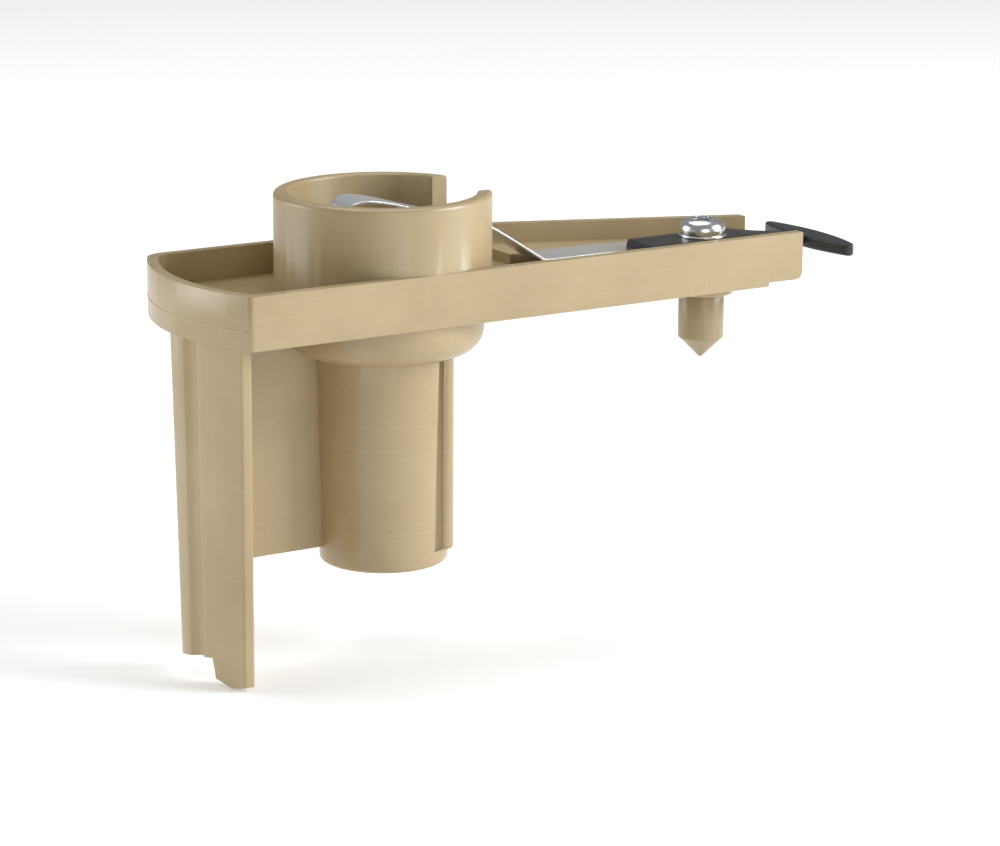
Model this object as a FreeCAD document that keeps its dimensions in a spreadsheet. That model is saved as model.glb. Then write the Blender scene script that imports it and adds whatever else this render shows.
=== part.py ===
import FreeCAD, Part
import math
import os
import Sketcher

V = FreeCAD.Vector

# Umbrella swivel bracket, in millimetres.
# +Z is up along the swivel axis, which is the axis of the collar and of the post tube.
# +X runs along the straight front wall towards the index pin, and +Y points to the back wall.
# The origin is on the swivel axis, level with the top of the tray's rim.

# ---------------------------------------------------------------- driving dimensions
# Levels are depths below the rim, unless the name says otherwise.
DIMENSIONS = {
    # tray
    "rim_radius": 46.6,
    "front_reach": 21.8,
    "back_reach": 25.5,
    "back_bend_x": 22.9,
    "arm_end_x": 87.3,
    "arm_end_back_y": 1.0,
    "back_corner_radius": 5.0,
    "front_corner_radius": 1.2,
    "wall_thick": 2.2,
    "rim_depth": 10.6,
    "floor_thick": 2.2,
    "bowl_floor": 6.2,
    "arm_floor": 4.0,
    "arm_floor_start_x": 33.4,
    "lower_edge_step": 0.8,
    "lower_edge_step_x": 78.9,
    # blind pocket under the leaf spring's ramp, running on under the flat of the leaf
    "window_start_x": 25.0,
    "window_half_width": 6.4,
    "window_end_x": 40.0,
    "window_end_half_width": 5.6,
    "window_bottom": 9.2,
    "window_wall": 1.4,
    # collar
    "collar_radius": 21.7,
    "collar_inner_radius": 18.64,
    "collar_height": 13.3,
    "collar_slot_front": 10.0,
    "collar_slot_back": 8.6,
    # hub and post tube
    "hub_radius": 20.2,
    "hub_bottom": 18.9,
    "hub_round": 5.0,
    "tube_top_radius": 14.0,
    "tube_bottom_radius": 12.95,
    "tube_bottom": 62.0,
    "post_bore_radius": 10.6,
    # key along the tube with a groove beside it, and the web between the tube and the leg
    "key_radius": 1.8,
    "key_x": 8.13,
    "key_y": -10.4,
    "key_groove_radius": 1.1,
    "key_groove_x": 5.87,
    "key_groove_y": -11.93,
    "key_bottom": 58.8,
    "web_thick": 2.4,
    "web_y": 3.6,
    "web_bottom": 58.6,
    # leg, drafted from its top to its bottom
    "leg_thick": 2.5,
    "leg_top_radius": 45.45,
    "leg_bottom_radius": 43.75,
    "leg_top_front_y": -18.4,
    "leg_bottom_front_y": -16.4,
    "leg_back_y": 4.8,
    "leg_bottom": 79.3,
    "leg_back_bottom": 76.8,
    "leg_notch_y": -7.8,
    "leg_notch_bottom": 74.3,
    "leg_groove_radius": 3.4,
    "leg_groove_depth": 1.2,
    "leg_groove_top_y": -4.0,
    "leg_groove_bottom_y": -2.6,
    # index pin and its guide boss
    "pin_x": 71.7,
    "pin_y": -8.0,
    "pin_radius": 4.75,
    "pin_relief_radius": 4.35,
    "pin_relief_top": 12.8,
    "pin_relief_bottom": 13.8,
    "pin_shoulder": 22.7,
    "pin_tip": 27.0,
    "guide_gap": 0.08,
    "boss_radius": 6.7,
    "boss_bottom": 13.4,
    # leaf spring
    "leaf_thick": 0.5,
    "leaf_half_width": 4.7,
    "leaf_bend_x": 35.2,
    "leaf_knee_x": 21.5,
    "leaf_knee_rise": 8.8,
    "leaf_arch_x": 6.0,
    "leaf_arch_rise": 13.2,
    "leaf_crest_x": -2.0,
    "leaf_crest_rise": 15.4,
    "leaf_tip_x": -7.5,
    "leaf_tip_rise": 16.2,
    "leaf_curl_x": -10.0,
    "leaf_curl_rise": 14.6,
    "leaf_pad_start_x": 52.0,
    "leaf_pad_end_x": 79.5,
    "leaf_pad_front_y": -12.6,
    "leaf_pad_back_y": 1.2,
    # handle
    "handle_thick": 2.0,
    "handle_half_width": 4.5,
    "handle_nose_reach": 16.6,
    "handle_nose_bevel": 1.3,
    "handle_neck_start": 8.5,
    "handle_neck_half_width": 2.4,
    "handle_bar_reach": 27.4,
    "handle_bar_level": 4.8,
    "handle_bar_length": 34.6,
    "handle_bar_width": 6.0,
    "handle_bar_thick": 2.6,
    # screw and washer
    "screw_radius": 2.45,
    "screw_head_radius": 4.75,
    "screw_head_thick": 3.2,
    "screw_length": 16.0,
    "screw_recess_width": 1.3,
    "screw_recess_length": 5.2,
    "screw_recess_depth": 1.8,
    "screw_hole_radius": 2.5,
    "washer_radius": 5.0,
    "washer_thick": 0.4,
}


class Size:
    """A number together with the spreadsheet expression that gives it."""

    def __init__(self, value, text):
        self.value = value
        self.text = text

    def __add__(self, other):
        other = as_size(other)
        return Size(self.value + other.value, "(%s + %s)" % (self.text, other.text))

    def __sub__(self, other):
        other = as_size(other)
        return Size(self.value - other.value, "(%s - %s)" % (self.text, other.text))

    def __mul__(self, other):
        other = as_size(other)
        return Size(self.value * other.value, "(%s * %s)" % (self.text, other.text))

    def __truediv__(self, other):
        other = as_size(other)
        return Size(self.value / other.value, "(%s / %s)" % (self.text, other.text))

    def __neg__(self):
        return Size(-self.value, "(0 - %s)" % self.text)


def as_size(number):
    return number if isinstance(number, Size) else Size(float(number), repr(float(number)))


def size(alias):
    return Size(DIMENSIONS[alias], "Dimensions." + alias)


doc = FreeCAD.newDocument("umbrella_swivel_bracket")
sheet = doc.addObject("Spreadsheet::Sheet", "Dimensions")
for row, (alias, value) in enumerate(DIMENSIONS.items(), start=1):
    sheet.set("A%d" % row, alias)
    sheet.set("B%d" % row, str(value))
    sheet.setAlias("B%d" % row, alias)
doc.recompute()


# ---------------------------------------------------------------- building helpers
def new_body(label):
    body = doc.addObject("PartDesign::Body", label)
    body.Label = label
    return body


def new_sketch(body, name, role="XY_Plane", height=0):
    """A sketch on one of the body's own origin planes, moved along its normal by height."""
    plane = [p for p in body.Origin.OriginFeatures if p.Role == role][0]
    sketch = body.newObject("Sketcher::SketchObject", name)
    sketch.AttachmentSupport = [(plane, "")]
    sketch.MapMode = "FlatFace"
    sketch.setExpression("AttachmentOffset.Base.z", as_size(height).text)
    return sketch


def pin_point(sketch, geometry, end, x, y):
    """Fix one end of a sketch element at x, y from the sketch's origin."""
    for kind, coordinate in (("DistanceX", as_size(x)), ("DistanceY", as_size(y))):
        index = sketch.addConstraint(Sketcher.Constraint(kind, -1, 1, geometry, end, coordinate.value))
        sketch.setExpression("Constraints[%d]" % index, coordinate.text)


def polygon(sketch, points):
    """A closed outline of straight edges through (x, y) points."""
    corners = [V(as_size(x).value, as_size(y).value, 0) for x, y in points]
    count = len(corners)
    first = sketch.GeometryCount
    for i in range(count):
        sketch.addGeometry(Part.LineSegment(corners[i], corners[(i + 1) % count]))
    for i in range(count):
        following = first + (i + 1) % count
        sketch.addConstraint(Sketcher.Constraint("Coincident", first + i, 2, following, 1))
        pin_point(sketch, first + i, 1, *points[i])


def circle(sketch, x, y, radius):
    centre = V(as_size(x).value, as_size(y).value, 0)
    index = sketch.addGeometry(Part.Circle(centre, V(0, 0, 1), radius.value))
    constraint = sketch.addConstraint(Sketcher.Constraint("Radius", index, radius.value))
    sketch.setExpression("Constraints[%d]" % constraint, radius.text)
    pin_point(sketch, index, 3, x, y)


def lens(sketch, x, half_width, half_length):
    """A pointed oval about x on the X axis, bounded by two arcs."""
    tips = (V(x.value, half_length.value, 0), V(x.value, -half_length.value, 0))
    right = V(x.value + half_width.value, 0, 0)
    left = V(x.value - half_width.value, 0, 0)
    sketch.addGeometry(Part.Arc(tips[1], right, tips[0]))
    sketch.addGeometry(Part.Arc(tips[0], left, tips[1]))
    radius = (half_length * half_length / half_width + half_width) / 2
    sketch.addConstraint(Sketcher.Constraint("Coincident", 0, 2, 1, 1))
    sketch.addConstraint(Sketcher.Constraint("Coincident", 0, 1, 1, 2))
    pin_point(sketch, 0, 1, x, -half_length)
    pin_point(sketch, 0, 2, x, half_length)
    for arc in (0, 1):
        constraint = sketch.addConstraint(Sketcher.Constraint("Radius", arc, radius.value))
        sketch.setExpression("Constraints[%d]" % constraint, radius.text)


def extrude(body, kind, name, sketch, length, reverse=False, both_ways=False):
    """A Pad or a Pocket of one sketch."""
    feature = body.newObject("PartDesign::" + kind, name)
    feature.Profile = sketch
    feature.setExpression("Length", as_size(length).text)
    feature.Reversed = reverse
    if both_ways:
        feature.SideType = "Symmetric"
    sketch.Visibility = False
    doc.recompute()
    return feature


def pad_down(body, name, sketch, length):
    return extrude(body, "Pad", name, sketch, length, reverse=True)


def revolve(body, name, sketch):
    feature = body.newObject("PartDesign::Revolution", name)
    feature.Profile = sketch
    feature.ReferenceAxis = (sketch, ["V_Axis"])
    feature.Angle = 360
    doc.recompute()
    return feature


def loft(body, kind, name, first, second):
    """An Additive or Subtractive straight loft between two sketches."""
    feature = body.newObject("PartDesign::%sLoft" % kind, name)
    feature.Profile = first
    feature.Sections = [second]
    feature.Ruled = True
    first.Visibility = False
    second.Visibility = False
    doc.recompute()
    return feature


def round_edges(body, name, radius, wanted):
    """Fillet the edges of the body's tip that wanted() picks."""
    base = body.Tip
    names = ["Edge%d" % (i + 1) for i, edge in enumerate(base.Shape.Edges) if wanted(edge)]
    if not names:
        raise RuntimeError("no edge found for " + name)
    feature = body.newObject("PartDesign::Fillet", name)
    feature.Base = (base, names)
    feature.Radius = radius
    doc.recompute()
    return feature


def is_circle(edge, radius, level):
    """A round edge of that radius in the plane at that height."""
    if not isinstance(edge.Curve, Part.Circle):
        return False
    return abs(edge.Curve.Radius - radius) < 0.02 and abs(edge.Curve.Center.z - level) < 0.02


def is_upright(edge, x, y, reach=0.3):
    """A straight upright edge near x, y."""
    if not isinstance(edge.Curve, Part.Line):
        return False
    start, end = edge.Vertexes[0].Point, edge.Vertexes[-1].Point
    if abs(start.z - end.z) < 0.5:
        return False
    middle = (start + end) * 0.5
    return math.hypot(middle.x - x, middle.y - y) < reach


# ---------------------------------------------------------------- tray outline
TAPER = (size("back_reach") - size("arm_end_back_y")) / (size("arm_end_x") - size("back_bend_x"))


def back_wall_y(x, inset):
    """Y of the tapering back wall at x, moved inwards by inset."""
    slant = TAPER * TAPER / 2 + 1
    return size("back_reach") - (as_size(x) - size("back_bend_x")) * TAPER - as_size(inset) * slant


def tray_outline(sketch, inset, end_x):
    """The tray's outline, inset all round, cut off square at end_x."""
    inset = as_size(inset)
    end_x = as_size(end_x)
    radius = size("rim_radius") - inset
    front = -(size("front_reach") - inset)
    back = size("back_reach") - inset
    bend_x = size("back_bend_x") - inset * TAPER / 2
    front_corner = V(-math.sqrt(radius.value ** 2 - front.value ** 2), front.value, 0)
    back_corner = V(-math.sqrt(radius.value ** 2 - back.value ** 2), back.value, 0)
    end_front = V(end_x.value, front.value, 0)
    end_back = V(end_x.value, back_wall_y(end_x, inset).value, 0)
    bend = V(bend_x.value, back.value, 0)

    sketch.addGeometry(Part.LineSegment(front_corner, end_front))
    sketch.addGeometry(Part.LineSegment(end_front, end_back))
    sketch.addGeometry(Part.LineSegment(end_back, bend))
    sketch.addGeometry(Part.LineSegment(bend, back_corner))
    left = V(-radius.value, 0, 0)
    sketch.addGeometry(Part.Arc(back_corner, left, front_corner))
    for first, second in ((0, 1), (1, 2), (2, 3)):
        sketch.addConstraint(Sketcher.Constraint("Coincident", first, 2, second, 1))
    sketch.addConstraint(Sketcher.Constraint("Coincident", 3, 2, 4, 1))
    sketch.addConstraint(Sketcher.Constraint("Coincident", 4, 2, 0, 1))
    sketch.addConstraint(Sketcher.Constraint("Horizontal", 0))
    sketch.addConstraint(Sketcher.Constraint("Horizontal", 3))
    sketch.addConstraint(Sketcher.Constraint("Coincident", 4, 3, -1, 1))
    rounding = sketch.addConstraint(Sketcher.Constraint("Radius", 4, radius.value))
    sketch.setExpression("Constraints[%d]" % rounding, radius.text)
    pin_point(sketch, 0, 2, end_x, front)
    pin_point(sketch, 1, 2, end_x, back_wall_y(end_x, inset))
    pin_point(sketch, 2, 2, bend_x, back)


# ---------------------------------------------------------------- bracket body
def tray(body):
    """Rim, floors and the shallow recesses under them."""
    wall = size("wall_thick")
    outline = new_sketch(body, "rim_outline")
    tray_outline(outline, 0, size("arm_end_x"))
    pad_down(body, "rim", outline, size("rim_depth"))
    corner_x = -math.sqrt(DIMENSIONS["rim_radius"] ** 2 - DIMENSIONS["back_reach"] ** 2)
    round_edges(body, "back_corner", DIMENSIONS["back_corner_radius"],
                lambda e: is_upright(e, corner_x, DIMENSIONS["back_reach"]))
    front_x = -math.sqrt(DIMENSIONS["rim_radius"] ** 2 - DIMENSIONS["front_reach"] ** 2)
    round_edges(body, "front_corner", DIMENSIONS["front_corner_radius"],
                lambda e: is_upright(e, front_x, -DIMENSIONS["front_reach"]))

    inside = new_sketch(body, "inside_outline")
    tray_outline(inside, wall, size("arm_end_x") + 1)
    extrude(body, "Pocket", "arm_pocket", inside, size("arm_floor"))
    bowl = new_sketch(body, "bowl_outline")
    tray_outline(bowl, wall, size("arm_floor_start_x"))
    extrude(body, "Pocket", "bowl_pocket", bowl, size("bowl_floor"))
    inner_radius = DIMENSIONS["rim_radius"] - DIMENSIONS["wall_thick"]
    inner_back = DIMENSIONS["back_reach"] - DIMENSIONS["wall_thick"]
    inner_x = -math.sqrt(inner_radius ** 2 - inner_back ** 2)
    round_edges(body, "back_corner_inside", DIMENSIONS["back_corner_radius"] - DIMENSIONS["wall_thick"],
                lambda e: is_upright(e, inner_x, inner_back))

    underside = -size("rim_depth")
    recess = new_sketch(body, "bowl_recess_outline", height=underside)
    tray_outline(recess, wall, size("arm_floor_start_x") + wall)
    depth = size("rim_depth") - size("bowl_floor") - size("floor_thick")
    extrude(body, "Pocket", "bowl_recess", recess, depth, reverse=True)
    arm = new_sketch(body, "arm_recess_outline", height=underside)
    near = size("arm_floor_start_x") + wall
    far = size("arm_end_x") - wall
    front = wall - size("front_reach")
    polygon(arm, [(near, front), (far, front), (far, back_wall_y(far, wall)), (near, back_wall_y(near, wall))])
    depth = size("rim_depth") - size("arm_floor") - size("floor_thick")
    extrude(body, "Pocket", "arm_recess", arm, depth, reverse=True)

    step = new_sketch(body, "lower_edge_step_outline", height=underside)
    near = size("lower_edge_step_x")
    far = size("arm_end_x") + 1
    side = size("rim_radius")
    polygon(step, [(near, -side), (far, -side), (far, side), (near, side)])
    extrude(body, "Pocket", "lower_edge_step", step, size("lower_edge_step"), reverse=True)
    end_x = DIMENSIONS["arm_end_x"]
    end_level = DIMENSIONS["lower_edge_step"] - DIMENSIONS["rim_depth"]

    def is_end_corner(edge):
        box = edge.BoundBox
        level = abs(box.XMin - end_x) < 0.02 and abs(box.ZMax - end_level) < 0.02
        return level and box.XLength < 0.02 and box.ZLength < 0.02

    round_edges(body, "arm_end_corner", 1.5, is_end_corner)


def collar(body):
    """C-shaped collar, open towards the arm, with a rounded top edge."""
    ring = new_sketch(body, "collar_ring", height=-size("bowl_floor") - 1)
    circle(ring, 0, 0, size("collar_radius"))
    circle(ring, 0, 0, size("collar_inner_radius"))
    extrude(body, "Pad", "collar", ring, size("collar_height") + size("bowl_floor") + 1)
    slot = new_sketch(body, "collar_slot_outline", height=size("collar_height"))
    front = -size("collar_slot_front")
    back = size("collar_slot_back")
    near = size("collar_inner_radius") / 2
    far = size("collar_radius") + 1
    polygon(slot, [(near, front), (far, front), (far, back), (near, back)])
    extrude(body, "Pocket", "collar_slot", slot, size("collar_height") + size("bowl_floor"))
    top = DIMENSIONS["collar_height"]
    round_edges(body, "collar_outer_edge", 0.9, lambda e: is_circle(e, DIMENSIONS["collar_radius"], top))
    round_edges(body, "collar_inner_edge", 0.5, lambda e: is_circle(e, DIMENSIONS["collar_inner_radius"], top))


def post_tube(body):
    """Hub and tapering tube, turned about the swivel axis, with the key along the tube."""
    section = new_sketch(body, "tube_section", role="XZ_Plane")
    top = -size("bowl_floor") - 1
    hub_level = -size("hub_bottom")
    tube_level = -size("tube_bottom")
    polygon(section, [(0, top), (size("hub_radius"), top), (size("hub_radius"), hub_level),
                      (size("tube_top_radius"), hub_level), (size("tube_bottom_radius"), tube_level),
                      (0, tube_level)])
    revolve(body, "hub_and_tube", section)
    round_edges(body, "hub_edge", DIMENSIONS["hub_round"],
                lambda e: is_circle(e, DIMENSIONS["hub_radius"], -DIMENSIONS["hub_bottom"]))
    round_edges(body, "tube_edge", 1.0,
                lambda e: is_circle(e, DIMENSIONS["tube_bottom_radius"], -DIMENSIONS["tube_bottom"]))

    key = new_sketch(body, "key_section", height=hub_level + 3)
    circle(key, size("key_x"), size("key_y"), size("key_radius"))
    pad_down(body, "key", key, size("key_bottom") - size("hub_bottom") + 3)
    round_edges(body, "key_end", 0.8,
                lambda e: is_circle(e, DIMENSIONS["key_radius"], -DIMENSIONS["key_bottom"]))
    groove = new_sketch(body, "key_groove_section", height=hub_level)
    circle(groove, size("key_groove_x"), size("key_groove_y"), size("key_groove_radius"))
    extrude(body, "Pocket", "key_groove", groove, size("key_bottom") - size("hub_bottom"))


def leg_band(body, name, height, radius, front):
    """Cross-section of the leg: a band of the tray's end arc between its front and back edges."""
    sketch = new_sketch(body, name, height=height)
    inner = radius - size("leg_thick")
    back = size("leg_back_y")
    corners = []
    for reach, y in ((radius, front), (radius, back), (inner, back), (inner, front)):
        corners.append(V(-math.sqrt(reach.value ** 2 - y.value ** 2), y.value, 0))
    middle_y = (front.value + back.value) / 2
    arcs = []
    for reach, start, end in ((radius, 0, 1), (inner, 2, 3)):
        middle = V(-math.sqrt(reach.value ** 2 - middle_y ** 2), middle_y, 0)
        arcs.append(sketch.addGeometry(Part.Arc(corners[start], middle, corners[end])))
        constraint = sketch.addConstraint(Sketcher.Constraint("Radius", arcs[-1], reach.value))
        sketch.setExpression("Constraints[%d]" % constraint, reach.text)
        sketch.addConstraint(Sketcher.Constraint("Coincident", arcs[-1], 3, -1, 1))
    ends = (sketch.addGeometry(Part.LineSegment(corners[1], corners[2])),
            sketch.addGeometry(Part.LineSegment(corners[3], corners[0])))
    # an arc keeps its ends in counter-clockwise order: 1 is its back end here, 2 its front end
    sketch.addConstraint(Sketcher.Constraint("Coincident", ends[0], 1, arcs[0], 1))
    sketch.addConstraint(Sketcher.Constraint("Coincident", ends[0], 2, arcs[1], 1))
    sketch.addConstraint(Sketcher.Constraint("Coincident", ends[1], 1, arcs[1], 2))
    sketch.addConstraint(Sketcher.Constraint("Coincident", ends[1], 2, arcs[0], 2))
    for line, y in ((ends[0], back), (ends[1], front)):
        sketch.addConstraint(Sketcher.Constraint("Horizontal", line))
        constraint = sketch.addConstraint(Sketcher.Constraint("DistanceY", -1, 1, line, 1, y.value))
        sketch.setExpression("Constraints[%d]" % constraint, y.text)
    return sketch


def leg(body):
    """Drafted hanging leg under the left end, with an upright groove, a notched end and a web to the tube."""
    top = -size("rim_depth") + size("floor_thick")
    bottom = -size("leg_bottom")
    sections = (leg_band(body, "leg_top", top, size("leg_top_radius"), size("leg_top_front_y")),
                leg_band(body, "leg_end", bottom, size("leg_bottom_radius"), size("leg_bottom_front_y")))
    loft(body, "Additive", "leg", *sections)

    end = new_sketch(body, "leg_end_outline", role="YZ_Plane", height=-size("leg_top_radius") * 0.7)
    notch_y = size("leg_notch_y")
    deep = bottom - 1
    clear = size("leg_back_y") + 1
    front = size("leg_top_front_y") - 1
    polygon(end, [(clear, -size("leg_back_bottom")), (notch_y, -size("leg_notch_bottom")),
                  (notch_y - 0.9, bottom + 1), (notch_y - 5.5, bottom), (front + 2, bottom + 0.9),
                  (front, bottom + 2), (front, deep), (clear, deep)])
    extrude(body, "Pocket", "leg_notched_end", end, size("rim_radius"))

    def is_leg_edge(edge, y_top, y_bottom):
        box = edge.BoundBox
        spans = box.ZLength > 60 and box.XMax < -30
        return spans and abs(box.YMin - min(y_top, y_bottom)) < 0.2 and abs(box.YMax - max(y_top, y_bottom)) < 0.2

    back_y = DIMENSIONS["leg_back_y"]
    front_ys = (DIMENSIONS["leg_top_front_y"], DIMENSIONS["leg_bottom_front_y"])
    round_edges(body, "leg_front_edges", 0.7, lambda e: is_leg_edge(e, *front_ys))
    round_edges(body, "leg_back_edge", 0.9, lambda e: is_leg_edge(e, back_y, back_y) and e.BoundBox.XMin < -44.5)

    circles = []
    for name, height, radius, y in (("top", -size("rim_depth"), size("leg_top_radius"), size("leg_groove_top_y")),
                                    ("end", bottom, size("leg_bottom_radius"), size("leg_groove_bottom_y"))):
        sketch = new_sketch(body, "leg_groove_" + name, height=height)
        reach = radius + size("leg_groove_radius") - size("leg_groove_depth")
        circle(sketch, -reach, y, size("leg_groove_radius"))
        circles.append(sketch)
    loft(body, "Subtractive", "leg_groove", *circles)

    web = new_sketch(body, "web_section", height=top)
    front = size("web_y") - size("web_thick") / 2
    back = size("web_y") + size("web_thick") / 2
    left = -(size("leg_top_radius") - 2.1)
    right = -(size("tube_bottom_radius") - 1)
    polygon(web, [(left, front), (right, front), (right, back), (left, back)])
    pad_down(body, "web", web, size("web_bottom") - size("rim_depth") + size("floor_thick"))


def openings(body):
    """Post bore, pin guide, and the blind pocket under the leaf spring's ramp."""
    boss = new_sketch(body, "boss_section", height=-size("arm_floor") - 1)
    circle(boss, size("pin_x"), size("pin_y"), size("boss_radius"))
    pad_down(body, "guide_boss", boss, size("boss_bottom") - size("arm_floor") - 1)
    boss_bottom = -DIMENSIONS["boss_bottom"]
    round_edges(body, "boss_edge", 0.6, lambda e: is_circle(e, DIMENSIONS["boss_radius"], boss_bottom))
    guide = new_sketch(body, "guide_section")
    circle(guide, size("pin_x"), size("pin_y"), size("pin_radius") + size("guide_gap"))
    extrude(body, "Pocket", "pin_guide", guide, size("boss_bottom") + 1)

    bore = new_sketch(body, "bore_section")
    circle(bore, 0, 0, size("post_bore_radius"))
    extrude(body, "Pocket", "post_bore", bore, size("tube_bottom") + 1)

    near = size("window_start_x")
    ledge = size("arm_floor_start_x")
    far = size("window_end_x")
    half = size("window_half_width")
    end_half = size("window_end_half_width")
    wall = size("window_wall")
    box = new_sketch(body, "window_box_outline", height=-size("bowl_floor") - 1)
    polygon(box, [(near - wall, -half - wall), (far + wall, -half - wall), (far + wall, half + wall),
                  (near - wall, half + wall)])
    pad_down(body, "window_box", box, size("rim_depth") - size("bowl_floor") - 1)
    window = new_sketch(body, "window_outline")
    polygon(window, [(near, -half), (ledge, -half), (ledge, -end_half), (far, -end_half),
                     (far, end_half), (ledge, end_half), (ledge, half), (near, half)])
    extrude(body, "Pocket", "floor_window", window, size("window_bottom"))


def bracket_body():
    body = new_body("bracket_body")
    tray(body)
    post_tube(body)
    leg(body)
    collar(body)
    openings(body)
    return body


# ---------------------------------------------------------------- plunger pieces
LEAF_TOP = -size("arm_floor") + size("leaf_thick")
HANDLE_TOP = LEAF_TOP + size("handle_thick")
WASHER_TOP = HANDLE_TOP + size("washer_thick")


def move_to_pin(body):
    """Pieces on the pin's axis are drawn about their own Z axis and placed over the pin."""
    body.setExpression("Placement.Base.x", "Dimensions.pin_x")
    body.setExpression("Placement.Base.y", "Dimensions.pin_y")


def index_pin():
    """Pointed pin: guided upper part, relief groove and free end, with a blind hole for the screw."""
    body = new_body("index_pin")
    section = new_sketch(body, "pin_section", role="XZ_Plane")
    top = -size("arm_floor")
    radius = size("pin_radius")
    hole = size("screw_hole_radius")
    hole_end = WASHER_TOP - size("screw_length") - 1
    relief = size("pin_relief_radius")
    relief_top = -size("pin_relief_top")
    relief_bottom = -size("pin_relief_bottom")
    polygon(section, [(hole, top), (radius, top), (radius, relief_top), (relief, relief_top),
                      (relief, relief_bottom), (radius, relief_bottom), (radius, -size("pin_shoulder")),
                      (0.4, -size("pin_tip")), (0, -size("pin_tip")), (0, hole_end), (hole, hole_end)])
    revolve(body, "pin", section)
    move_to_pin(body)
    return body


def t_handle():
    """Flat handle clamped under the screw, with a T-bar beyond the arm's open end."""
    body = new_body("t_handle")
    side = new_sketch(body, "handle_side", role="XZ_Plane")
    bottom = LEAF_TOP
    bevel = size("handle_nose_bevel")
    nose = -size("handle_nose_reach")
    neck = size("handle_neck_start")
    bar = size("handle_bar_reach")
    end_of_arm = size("arm_end_x") - size("pin_x")
    level = -size("handle_bar_level")
    polygon(side, [(nose, bottom), (nose, HANDLE_TOP - bevel), (nose + bevel, HANDLE_TOP), (neck, HANDLE_TOP),
                   (bar, level + 1), (bar, level - 1), (end_of_arm + 1, bottom), (neck, bottom)])
    extrude(body, "Pad", "handle", side, size("handle_half_width") * 2, both_ways=True)
    wide = size("handle_half_width")
    slim = size("handle_neck_half_width")
    for name, sign in (("neck_back", 1), ("neck_front", -1)):
        cut = new_sketch(body, name + "_outline", height=HANDLE_TOP + 1)
        polygon(cut, [(neck, wide * sign), (neck + 6, slim * sign), (bar + 1, slim * sign),
                      (bar + 1, (wide + 1) * sign), (neck, (wide + 1) * sign)])
        extrude(body, "Pocket", name, cut, size("handle_bar_level") + size("handle_thick") + 2)
    thick = size("handle_bar_thick")
    outline = new_sketch(body, "bar_outline", height=level - thick / 2)
    lens(outline, bar, size("handle_bar_width") / 2, size("handle_bar_length") / 2)
    extrude(body, "Pad", "bar", outline, thick)
    half_length = DIMENSIONS["handle_bar_length"] / 2
    for name, tip_y in (("bar_back_tip", half_length), ("bar_front_tip", -half_length)):
        round_edges(body, name, 1.1, lambda e: is_upright(e, bar.value, tip_y))
    faces = (level + thick / 2, level - thick / 2)

    def is_bar_outline(edge):
        box = edge.BoundBox
        flat = box.ZLength < 0.02 and min(abs(box.ZMin - face.value) for face in faces) < 0.02
        return flat and box.XMax > bar.value + 2

    round_edges(body, "bar_outer_edges", 0.5, is_bar_outline)
    for name, side_y in (("nose_back", wide.value), ("nose_front", -wide.value)):
        round_edges(body, name, 1.5, lambda e: is_upright(e, nose.value, side_y))
    eye = new_sketch(body, "eye_section", height=HANDLE_TOP + 1)
    circle(eye, 0, 0, size("screw_hole_radius"))
    extrude(body, "Pocket", "eye", eye, size("handle_thick") + 3)
    move_to_pin(body)
    return body


def plain_washer():
    body = new_body("plain_washer")
    section = new_sketch(body, "washer_section", height=HANDLE_TOP)
    circle(section, 0, 0, size("washer_radius"))
    circle(section, 0, 0, size("screw_hole_radius"))
    extrude(body, "Pad", "washer", section, size("washer_thick"))
    move_to_pin(body)
    return body


def handle_screw():
    """Pan-head screw with a cross recess."""
    body = new_body("handle_screw")
    section = new_sketch(body, "screw_section", role="XZ_Plane")
    head = size("screw_head_radius")
    shank = size("screw_radius")
    top = WASHER_TOP + size("screw_head_thick")
    end = WASHER_TOP - size("screw_length")
    polygon(section, [(0, top), (head, top), (head, WASHER_TOP), (shank, WASHER_TOP), (shank, end + 1),
                      (shank - 1, end), (0, end)])
    revolve(body, "screw", section)
    round_edges(body, "pan_edge", 2.2, lambda e: is_circle(e, head.value, top.value))
    recess = new_sketch(body, "recess_outline", height=top)
    arm = size("screw_recess_length") / 2
    half = size("screw_recess_width") / 2
    polygon(recess, [(arm, half), (half, half), (half, arm), (-half, arm), (-half, half), (-arm, half),
                     (-arm, -half), (-half, -half), (-half, -arm), (half, -arm), (half, -half), (arm, -half)])
    extrude(body, "Pocket", "cross_recess", recess, size("screw_recess_depth"))
    move_to_pin(body)
    return body


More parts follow.
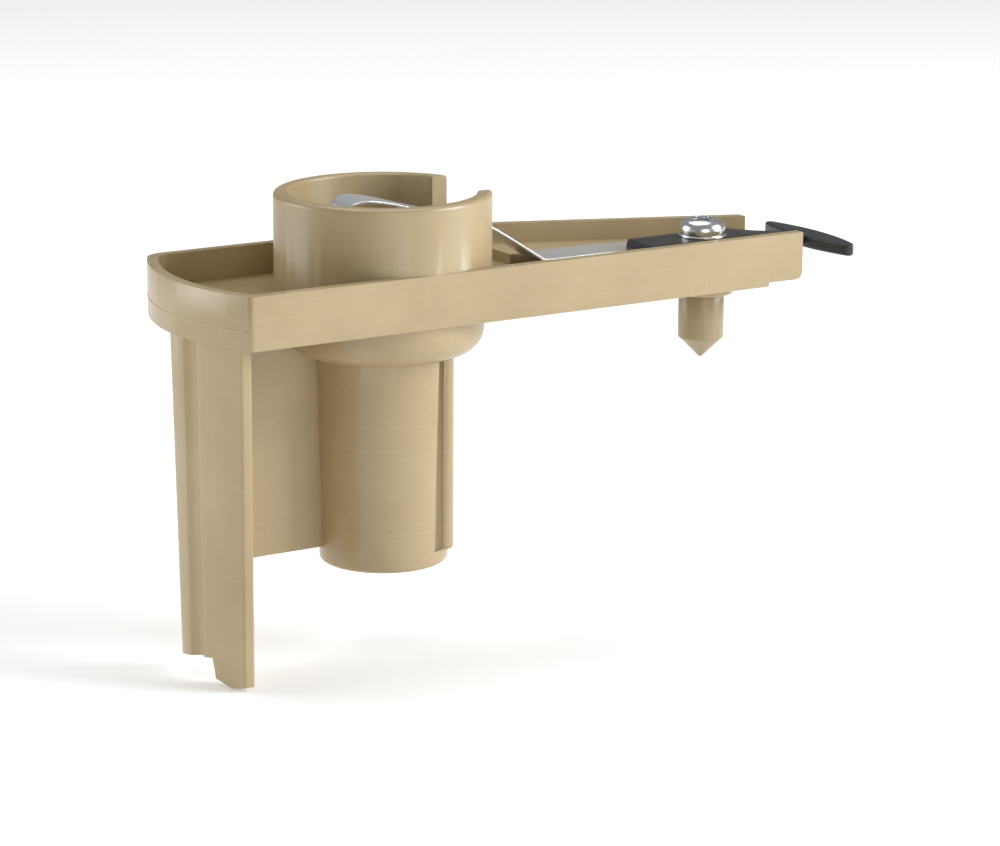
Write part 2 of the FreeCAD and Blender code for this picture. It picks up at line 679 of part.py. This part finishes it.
# ---------------------------------------------------------------- leaf spring
def leaf_spring():
    """Spring steel leaf: pad under the handle, flat run, ramp, and a gently rising tongue with a curled tip."""
    body = new_body("leaf_spring")
    side = new_sketch(body, "leaf_side", role="XZ_Plane")
    thick = size("leaf_thick")
    floor = -size("arm_floor")
    bend = size("leaf_bend_x")
    end = size("leaf_pad_end_x")
    points = [(bend, floor)]
    for place in ("knee", "arch", "crest", "tip", "curl"):
        points.append((size("leaf_%s_x" % place), floor + size("leaf_%s_rise" % place)))
    upper = [(x + thick / 4, z + thick) for x, z in points[:-1]]
    curl_x, curl_level = points[-1]
    polygon(side, [(end, floor)] + points + [(curl_x - thick, curl_level + thick / 2)]
            + upper[::-1] + [(end, floor + thick)])
    extrude(body, "Pad", "leaf", side, size("leaf_half_width") * 2, both_ways=True)
    pad = new_sketch(body, "leaf_pad_outline", height=floor)
    start = size("leaf_pad_start_x")
    half = size("leaf_half_width")
    polygon(pad, [(start, -half), (start + 6, size("leaf_pad_front_y")), (end, size("leaf_pad_front_y")),
                  (end, 0), (start, 0)])
    extrude(body, "Pad", "leaf_pad", pad, thick)
    trim = new_sketch(body, "leaf_trim_outline", height=floor + 1)
    polygon(trim, [(start, half), (end, size("leaf_pad_back_y")), (end + 1, size("leaf_pad_back_y")),
                   (end + 1, half + 1), (start, half + 1)])
    extrude(body, "Pocket", "leaf_trim", trim, 2)
    hole = new_sketch(body, "leaf_hole_section", height=floor + 1)
    circle(hole, size("pin_x"), size("pin_y"), size("screw_hole_radius"))
    extrude(body, "Pocket", "leaf_hole", hole, 2)
    return body


# ---------------------------------------------------------------- checks and files
def export(bodies):
    doc.recompute()
    for item in doc.Objects:
        if "Invalid" in item.State or "Error" in item.State:
            raise RuntimeError("%s is %s" % (item.Label, item.State))
    os.makedirs("parts", exist_ok=True)
    for body in bodies:
        shape = body.Shape
        if shape.isNull() or not shape.isValid() or len(shape.Solids) != 1:
            raise RuntimeError("bad shape: " + body.Label)
        shape.exportStep("parts/%s.step" % body.Label)
        box = shape.BoundBox
        print("%-14s %9.1f mm3  X %6.1f %6.1f  Y %6.1f %6.1f  Z %6.1f %6.1f"
              % (body.Label, shape.Volume, box.XMin, box.XMax, box.YMin, box.YMax, box.ZMin, box.ZMax))


export([bracket_body(), index_pin(), t_handle(), plain_washer(), handle_screw(), leaf_spring()])
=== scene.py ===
import math

import bmesh
import bpy
from mathutils import Matrix, Vector


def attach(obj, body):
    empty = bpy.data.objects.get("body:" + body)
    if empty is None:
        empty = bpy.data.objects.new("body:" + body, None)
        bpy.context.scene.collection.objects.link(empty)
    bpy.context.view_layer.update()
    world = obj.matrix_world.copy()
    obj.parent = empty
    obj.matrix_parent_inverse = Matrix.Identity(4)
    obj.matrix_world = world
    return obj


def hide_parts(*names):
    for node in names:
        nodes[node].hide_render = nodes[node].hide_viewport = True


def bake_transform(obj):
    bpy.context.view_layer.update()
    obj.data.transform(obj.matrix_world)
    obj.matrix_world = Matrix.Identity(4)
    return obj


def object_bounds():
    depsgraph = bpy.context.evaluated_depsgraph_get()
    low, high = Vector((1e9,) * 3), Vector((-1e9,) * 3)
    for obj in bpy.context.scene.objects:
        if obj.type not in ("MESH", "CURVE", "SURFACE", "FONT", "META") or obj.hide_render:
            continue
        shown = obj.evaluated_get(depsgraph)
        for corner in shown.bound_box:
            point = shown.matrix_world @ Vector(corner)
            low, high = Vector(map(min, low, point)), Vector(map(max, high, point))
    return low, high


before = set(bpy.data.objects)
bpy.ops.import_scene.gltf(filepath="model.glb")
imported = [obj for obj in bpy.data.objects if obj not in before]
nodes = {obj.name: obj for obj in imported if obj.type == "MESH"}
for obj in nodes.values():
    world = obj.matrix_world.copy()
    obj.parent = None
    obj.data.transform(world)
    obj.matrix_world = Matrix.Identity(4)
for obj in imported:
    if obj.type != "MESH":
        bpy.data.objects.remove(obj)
cad_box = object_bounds()

MM = 0.001


# ---------------------------------------------------------------- camera
AZIMUTH = math.radians(-31.955)
ELEVATION = math.radians(13.999)
ROLL = math.radians(0.333)
DISTANCE = 0.71417
LENS_MM = 129.6
AIM_RIGHT = 0.02323
AIM_UP = -0.03311


def add_camera():
    """Long lens from the front left, slightly above; placed by its own right, up and back directions."""
    back = Vector((math.sin(AZIMUTH) * math.cos(ELEVATION),
                   -math.cos(AZIMUTH) * math.cos(ELEVATION),
                   math.sin(ELEVATION)))
    level_right = Vector((math.cos(AZIMUTH), math.sin(AZIMUTH), 0))
    level_up = back.cross(level_right)
    right = math.cos(ROLL) * level_right + math.sin(ROLL) * level_up
    up = -math.sin(ROLL) * level_right + math.cos(ROLL) * level_up
    data = bpy.data.cameras.new("camera")
    data.lens = LENS_MM
    data.sensor_width = 36
    data.clip_start = 0.05
    data.clip_end = 20
    camera = bpy.data.objects.new("camera", data)
    bpy.context.scene.collection.objects.link(camera)
    turn = Matrix((right, up, back)).transposed().to_4x4()
    camera.matrix_world = Matrix.Translation(right * AIM_RIGHT + up * AIM_UP + back * DISTANCE) @ turn
    bpy.context.scene.camera = camera


add_camera()


# ---------------------------------------------------------------- materials
class Nodes:
    """Short names for building one node material."""

    def __init__(self, name):
        self.material = bpy.data.materials.new(name)
        self.material.use_nodes = True
        self.tree = self.material.node_tree
        self.shader = self.tree.nodes["Principled BSDF"]
        coordinates = self.add("ShaderNodeTexCoord")
        self.place = coordinates.outputs["Object"]

    def add(self, kind, **settings):
        node = self.tree.nodes.new(kind)
        for key, value in settings.items():
            setattr(node, key, value)
        return node

    def link(self, source, target):
        self.tree.links.new(source, target)

    def stretched(self, scale):
        mapping = self.add("ShaderNodeMapping")
        mapping.inputs["Scale"].default_value = scale
        self.link(self.place, mapping.inputs["Vector"])
        return mapping.outputs["Vector"]

    def noise(self, scale, detail=3.0, roughness=0.55, vector=None):
        node = self.add("ShaderNodeTexNoise")
        node.inputs["Scale"].default_value = scale
        node.inputs["Detail"].default_value = detail
        node.inputs["Roughness"].default_value = roughness
        self.link(vector or self.place, node.inputs["Vector"])
        return node.outputs["Fac"]

    def ramp(self, source, low, high, start=0.35, end=0.65):
        node = self.add("ShaderNodeValToRGB")
        node.color_ramp.elements[0].position = start
        node.color_ramp.elements[0].color = (*low, 1)
        node.color_ramp.elements[1].position = end
        node.color_ramp.elements[1].color = (*high, 1)
        self.link(source, node.inputs["Fac"])
        return node.outputs["Color"]

    def mix(self, factor, first, second, kind="MIX"):
        node = self.add("ShaderNodeMix", data_type="RGBA", blend_type=kind)
        for socket, value in ((node.inputs[0], factor), (node.inputs[6], first), (node.inputs[7], second)):
            if isinstance(value, (int, float)):
                socket.default_value = value
            elif isinstance(value, tuple):
                socket.default_value = (*value, 1)
            else:
                self.link(value, socket)
        return node.outputs[2]

    def map_range(self, source, low, high, to_low, to_high):
        node = self.add("ShaderNodeMapRange")
        for name, value in (("From Min", low), ("From Max", high), ("To Min", to_low), ("To Max", to_high)):
            node.inputs[name].default_value = value
        self.link(source, node.inputs["Value"])
        return node.outputs["Result"]

    def bump(self, source, depth_m, strength=1.0, below=None):
        node = self.add("ShaderNodeBump")
        node.inputs["Strength"].default_value = strength
        node.inputs["Distance"].default_value = depth_m
        self.link(source, node.inputs["Height"])
        if below:
            self.link(below, node.inputs["Normal"])
        return node.outputs["Normal"]

    def finish(self, colour, roughness, normal=None):
        self.link(colour, self.shader.inputs["Base Color"])
        self.link(roughness, self.shader.inputs["Roughness"])
        if normal:
            self.link(normal, self.shader.inputs["Normal"])
        return self.material


def tan_moulding(name="tan_moulding", tint=1.0):
    """Tan moulding: cloudy colour, faint level flow streaks, satin skin; tint scales the colour, below 1 for
    painted shade and above 1 for a painted highlight.
    """
    n = Nodes(name)
    dark = tuple(c * tint for c in (0.375, 0.277, 0.142))
    light = tuple(c * tint for c in (0.440, 0.338, 0.186))
    clouds = n.ramp(n.noise(38, detail=4), dark, light, 0.3, 0.7)
    streaks = n.noise(1.0, detail=4, vector=n.stretched((30, 60, 1100)))
    streaked = n.mix(n.map_range(streaks, 0.55, 0.72, 0.0, 0.10), clouds, (0.56, 0.46, 0.29))
    grain = n.noise(1500, detail=2)
    speckled = n.mix(n.map_range(grain, 0.45, 0.75, 0.0, 0.06), streaked, (0.22, 0.145, 0.065))
    rough = n.map_range(n.noise(90, detail=3), 0.3, 0.7, 0.27, 0.38)
    normal = n.bump(grain, 0.00002, 0.4)
    normal = n.bump(n.noise(120, detail=2), 0.0001, 0.25, normal)
    n.shader.inputs["Specular IOR Level"].default_value = 0.65
    return n.finish(speckled, rough, normal)


def black_plastic():
    """Satin black moulding with a fine grain."""
    n = Nodes("black_plastic")
    grain = n.noise(1900, detail=2)
    colour = n.ramp(n.noise(160, detail=3), (0.014, 0.015, 0.016), (0.026, 0.028, 0.029), 0.3, 0.7)
    rough = n.map_range(n.noise(220), 0.3, 0.7, 0.32, 0.44)
    return n.finish(colour, rough, n.bump(grain, 0.00002, 0.5))


def bright_zinc():
    """Bright plated steel, slightly uneven."""
    n = Nodes("plated_steel")
    n.shader.inputs["Metallic"].default_value = 1.0
    colour = n.ramp(n.noise(700, detail=3), (0.86, 0.88, 0.90), (0.95, 0.96, 0.96), 0.3, 0.7)
    rough = n.map_range(n.noise(900), 0.3, 0.7, 0.18, 0.28)
    return n.finish(colour, rough, n.bump(n.noise(600), 0.00002, 0.4))


def spring_steel():
    """Rolled strip: brushed along its length, slightly blue-grey."""
    n = Nodes("spring_steel")
    n.shader.inputs["Metallic"].default_value = 0.75
    brushed = n.noise(1.0, detail=4, vector=n.stretched((40, 2600, 40)))
    colour = n.ramp(brushed, (0.76, 0.79, 0.82), (0.82, 0.84, 0.86), 0.3, 0.7)
    rough = n.map_range(brushed, 0.3, 0.7, 0.26, 0.32)
    return n.finish(colour, rough, n.bump(brushed, 0.00001, 0.2))


TAN = tan_moulding()
# Painted shade: the index pin gets a copy of the tan moulding darkened to 0.80.
TAN_PIN_PAINTED_SHADE = tan_moulding("tan_pin", 0.80)
BLACK = black_plastic()
ZINC = bright_zinc()
SPRING = spring_steel()
# Painted highlight: the parting line gets a copy of the tan moulding lightened to 1.22, for the light its raised
# bead catches.
LINE = tan_moulding("tan_line_painted_highlight", 1.22)


# ---------------------------------------------------------------- carried-over CAD pieces
def soften(piece, width_mm, segments=2, angle=28):
    """Small rounds along the sharp edges, as a moulding or a pressing has."""
    weld = piece.modifiers.new("join_faces", "WELD")
    weld.merge_threshold = 0.002 * MM
    bevel = piece.modifiers.new("soft_edges", "BEVEL")
    bevel.width = width_mm * MM
    bevel.segments = segments
    bevel.limit_method = "ANGLE"
    bevel.angle_limit = math.radians(angle)
    bevel.use_clamp_overlap = True
    bevel.harden_normals = True


for name, material, slot, round_mm in (("bracket_body", TAN, "tan_moulding", 0.28),
                                       ("index_pin", TAN_PIN_PAINTED_SHADE, "tan_pin", 0.25),
                                       ("t_handle", BLACK, "black_plastic", 0.3),
                                       ("plain_washer", ZINC, "plated_steel", 0.08),
                                       ("handle_screw", ZINC, "plated_steel", 0.12)):
    piece = nodes[name]
    piece.data.materials.clear()
    piece.data.materials.append(material)
    soften(piece, round_mm)


def new_piece(name, vertices, faces, material):
    """A smooth-shaded mesh object with its material and slot."""
    mesh = bpy.data.meshes.new(name)
    mesh.from_pydata(vertices, [], faces)
    mesh.update()
    work = bmesh.new()
    work.from_mesh(mesh)
    bmesh.ops.recalc_face_normals(work, faces=work.faces)
    work.to_mesh(mesh)
    work.free()
    for face in mesh.polygons:
        face.use_smooth = True
    piece = bpy.data.objects.new(name, mesh)
    bpy.context.scene.collection.objects.link(piece)
    mesh.materials.append(material)
    return piece


# ---------------------------------------------------------------- parting line round the left end
# All dimensions below are in millimetres.
RIM_RADIUS = 46.6
FRONT_Y = -21.8
BACK_Y = 25.5
CORNER_RADIUS = 5.0
FRONT_SETBACK = 0.9
LINE_END_X = 22
PARTING_Z = -6.8
LINE_RADIUS = 0.12
LINE_RINGS = 8


def outline_points():
    """The tray's outer outline from the front left corner, round the left end, to the back wall."""
    points = []
    start = 2 * math.pi + math.atan2(FRONT_Y, -math.sqrt(RIM_RADIUS ** 2 - FRONT_Y ** 2))
    start -= FRONT_SETBACK / RIM_RADIUS
    corner_y = BACK_Y - CORNER_RADIUS
    corner_x = -math.sqrt((RIM_RADIUS - CORNER_RADIUS) ** 2 - corner_y ** 2)
    end = math.atan2(corner_y, corner_x)
    for i in range(49):
        angle = start + (end - start) * i / 48
        points.append(Vector((RIM_RADIUS * math.cos(angle), RIM_RADIUS * math.sin(angle), 0)))
    for i in range(1, 11):
        angle = end + (math.pi / 2 - end) * i / 10
        points.append(Vector((corner_x + CORNER_RADIUS * math.cos(angle),
                              corner_y + CORNER_RADIUS * math.sin(angle), 0)))
    points.append(Vector((LINE_END_X, BACK_Y, 0)))
    return points


def add_parting_line():
    """A fine raised bead along the outline, half sunk in the wall, coloured with the lightened tan that paints
    its highlight.
    """
    points = outline_points()
    vertices, faces = [], []
    for i, point in enumerate(points):
        before, after = points[max(i - 1, 0)], points[min(i + 1, len(points) - 1)]
        along = (after - before).normalized()
        out = Vector((along.y, -along.x, 0))
        if out.dot(point) < 0:
            out = -out
        for k in range(LINE_RINGS):
            turn = 2 * math.pi * k / LINE_RINGS
            reach = LINE_RADIUS * 0.7 * math.cos(turn)
            vertices.append((point + out * reach + Vector((0, 0, PARTING_Z + LINE_RADIUS * math.sin(turn)))) * MM)
    for i in range(len(points) - 1):
        for k in range(LINE_RINGS):
            a, b = i * LINE_RINGS + k, i * LINE_RINGS + (k + 1) % LINE_RINGS
            faces.append((a, b, b + LINE_RINGS, a + LINE_RINGS))
    faces.append(tuple(range(LINE_RINGS)))
    faces.append(tuple((len(points) - 1) * LINE_RINGS + k for k in range(LINE_RINGS)))
    line = new_piece("parting_line", vertices, faces, LINE)
    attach(line, "bracket")


add_parting_line()


# ---------------------------------------------------------------- leaf spring
LEAF_FLOOR = -4.0
LEAF_THICK = 0.5
LEAF_HALF = 4.7
SPLIT_X = 38.0
TIP_X = -9.9
TIP_ROUND = 3.2
TIP_NARROWING = 2.6
PAD_START_X = 52.0
PAD_END_X = 79.5
PAD_SHOULDER = 6.0
PAD_FRONT_Y = -12.6
PAD_BACK_Y = 1.2


def smooth_path(points, steps):
    """Catmull-Rom points through (x, z) points."""
    path = []
    padded = [points[0]] + points + [points[-1]]
    for i in range(1, len(padded) - 2):
        p0, p1, p2, p3 = (Vector((*p, 0)) for p in padded[i - 1:i + 3])
        for k in range(steps):
            t = k / steps
            path.append(0.5 * (2 * p1 + (p2 - p0) * t + (2 * p0 - 5 * p1 + 4 * p2 - p3) * t ** 2
                               + (3 * p1 - p0 - 3 * p2 + p3) * t ** 3))
    path.append(Vector((*points[-1], 0)))
    return [(p.x, p.y) for p in path]


def strip(name, stations, across=6):
    """A steel strip of constant thickness from (x, z, front y, back y) stations along its underside."""
    vertices, faces = [], []
    count = len(stations)
    for i, (x, z, front, back) in enumerate(stations):
        before, after = stations[max(i - 1, 0)], stations[min(i + 1, count - 1)]
        along = Vector((after[0] - before[0], 0, after[1] - before[1])).normalized()
        up = Vector((-along.z, 0, along.x))
        if up.z < 0 and abs(up.z) > abs(up.x) * 0.2:
            up = -up
        for side in (0, 1):
            for k in range(across + 1):
                y = front + (back - front) * k / across
                vertices.append((Vector((x, y, z)) + up * (LEAF_THICK * side)) * MM)
    row = 2 * (across + 1)
    for i in range(count - 1):
        for k in range(across):
            for side in (0, 1):
                a = i * row + side * (across + 1) + k
                faces.append((a, a + 1, a + 1 + row, a + row))
        for k in (0, across):
            a = i * row + k
            faces.append((a, a + across + 1, a + across + 1 + row, a + row))
    for i in (0, count - 1):
        for k in range(across):
            a = i * row + k
            faces.append((a, a + 1, a + across + 2, a + across + 1))
    piece = new_piece(name, vertices, faces, SPRING)
    bevel = piece.modifiers.new("soft_edges", "BEVEL")
    bevel.width = 0.1 * MM
    bevel.segments = 2
    bevel.limit_method = "ANGLE"
    bevel.angle_limit = math.radians(40)
    return piece


def raised_leaf():
    """Ramp and tongue: up from the floor, over the crest, with a rounded tip curled down."""
    key = [(SPLIT_X, 0.0), (36.4, 0.0), (35.0, 0.25), (33.6, 1.1), (28.0, 4.65), (23.6, 7.4), (20.8, 8.8),
           (17.0, 9.95), (12.0, 11.4), (6.0, 13.05), (0.0, 14.75), (-4.0, 15.6), (-6.6, 15.9), (-8.6, 15.3),
           (-9.6, 14.1), (-9.9, 12.9)]
    path = smooth_path(key, 6)
    stations = []
    for x, rise in path:
        reach = x - TIP_X
        half = LEAF_HALF
        if reach < TIP_ROUND:
            half -= TIP_NARROWING * (1 - math.sqrt(max(0.0, 1 - (1 - reach / TIP_ROUND) ** 2)))
        stations.append((x, LEAF_FLOOR + rise, -half, half))
    leaf = strip("leaf_tongue", stations)
    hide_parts("leaf_spring")
    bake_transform(leaf)


def flat_leaf():
    """Flat run on the arm's floor, widening to the pad under the handle."""
    stations = []
    for i in range(45):
        x = SPLIT_X + (PAD_END_X - SPLIT_X) * i / 44
        front, back = -LEAF_HALF, LEAF_HALF
        widen = min(max((x - PAD_START_X) / PAD_SHOULDER, 0), 1)
        widen = widen * widen * (3 - 2 * widen)
        front += (PAD_FRONT_Y + LEAF_HALF) * widen
        narrow = min(max((x - PAD_START_X) / (PAD_END_X - PAD_START_X), 0), 1)
        back += (PAD_BACK_Y - LEAF_HALF) * narrow
        stations.append((x, LEAF_FLOOR, front, back))
    leaf = strip("leaf_run", stations, across=10)
    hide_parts("leaf_spring")
    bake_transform(leaf)


raised_leaf()
flat_leaf()


# ---------------------------------------------------------------- floor and light
def add_floor():
    """White sweep just under the object, with a little glow of its own to keep the distance white."""
    bpy.ops.mesh.primitive_plane_add(size=8, location=(0, 0, cad_box[0][2] - 0.0003))
    floor = bpy.context.object
    floor.name = "floor"
    n = Nodes("floor")
    shade = n.ramp(n.noise(3), (0.90, 0.90, 0.90), (0.92, 0.92, 0.92))
    rough = n.map_range(n.noise(5), 0, 1, 0.85, 0.95)
    n.shader.inputs["Emission Color"].default_value = (1, 1, 1, 1)
    n.shader.inputs["Emission Strength"].default_value = 0.24
    floor.data.materials.append(n.finish(shade, rough))


def add_light(name, place, size, power, colour=(1, 1, 1), aim=(0.02, 0, -0.02)):
    data = bpy.data.lights.new(name, "AREA")
    data.shape = "RECTANGLE"
    data.size, data.size_y = size
    data.energy = power
    data.color = colour
    light = bpy.data.objects.new(name, data)
    bpy.context.scene.collection.objects.link(light)
    light.location = place
    light.rotation_euler = (Vector(aim) - Vector(place)).to_track_quat("-Z", "Y").to_euler()


add_floor()
add_light("key", (0.95, -0.75, 0.50), (0.6, 0.8), 17.5, (0.97, 1.0, 1.03))
add_light("left", (-1.05, 0.85, 0.15), (0.9, 0.9), 11)
add_light("front", (-0.35, -1.25, 0.20), (0.8, 0.8), 3.5)
add_light("top", (0.1, 0.4, 1.3), (1.0, 1.0), 9)

world = bpy.data.worlds.new("world")
world.use_nodes = True
world.node_tree.nodes["Background"].inputs["Color"].default_value = (1, 1, 1, 1)
world.node_tree.nodes["Background"].inputs["Strength"].default_value = 0.22
bpy.context.scene.world = world
bpy.context.scene.view_settings.view_transform = "Standard"
